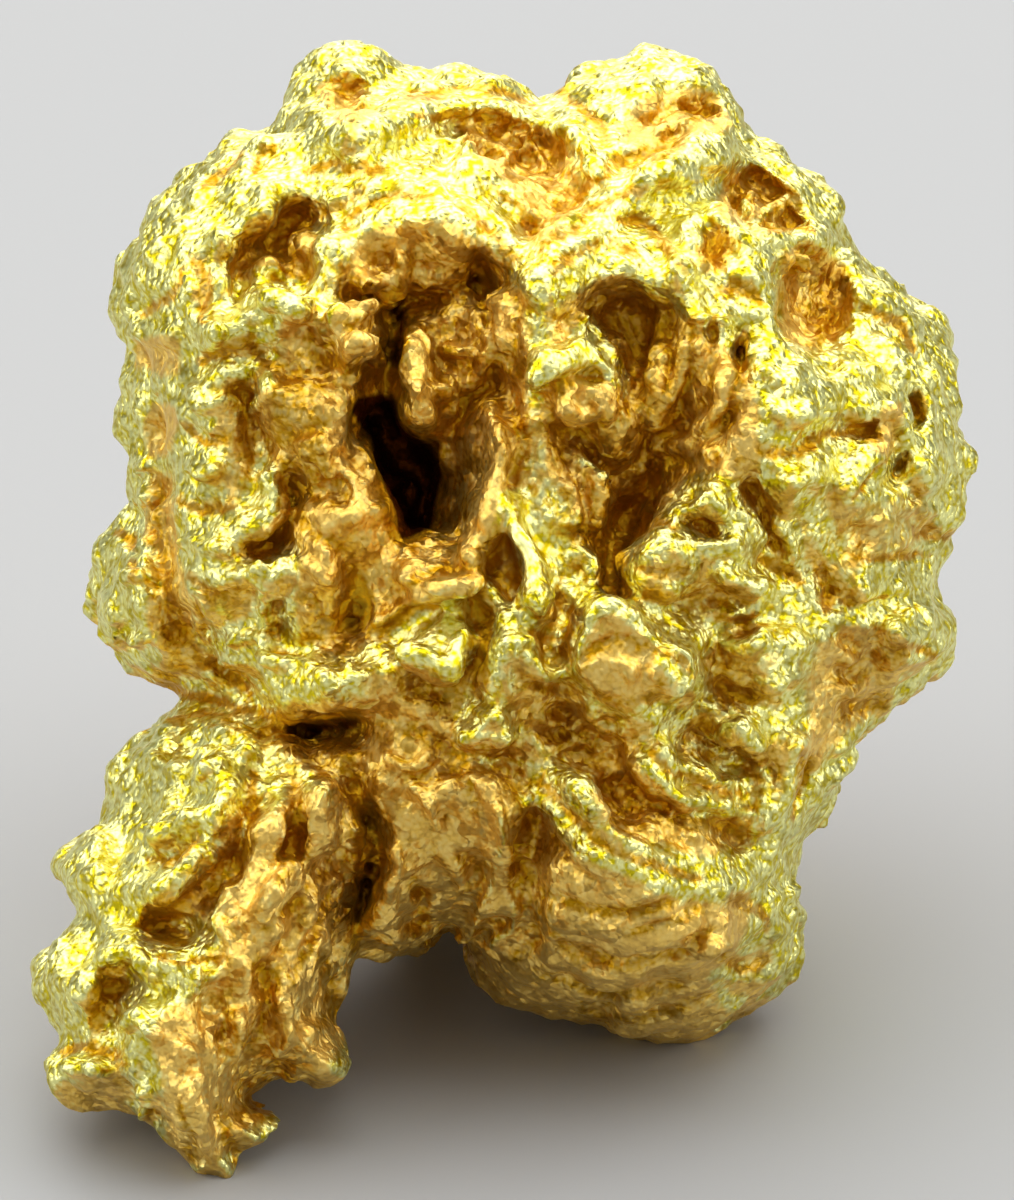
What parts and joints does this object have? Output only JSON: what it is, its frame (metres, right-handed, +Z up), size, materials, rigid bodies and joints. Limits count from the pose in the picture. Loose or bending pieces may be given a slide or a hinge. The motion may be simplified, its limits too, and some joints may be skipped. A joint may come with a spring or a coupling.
{
  "type": "gold nugget",
  "caption": "Natural gold nugget: one lumpy, folded piece of metal with deep hollows, lips and a leg-like spur, resting on small flats.",
  "frame": {"origin": "centre of the nugget's outline on the surface that it rests on", "axes": "+Z up, -Y towards the nugget's main face, which leans back by 25 degrees, +X to the right of that face"},
  "size_m": [0.0188, 0.0206, 0.0186],
  "materials": {
    "gold": "rough natural gold, granular, bright on its ridges and orange in its hollows"
  },
  "bodies": {
    "root": {"nugget": "gold"}
  },
  "joints": []
}
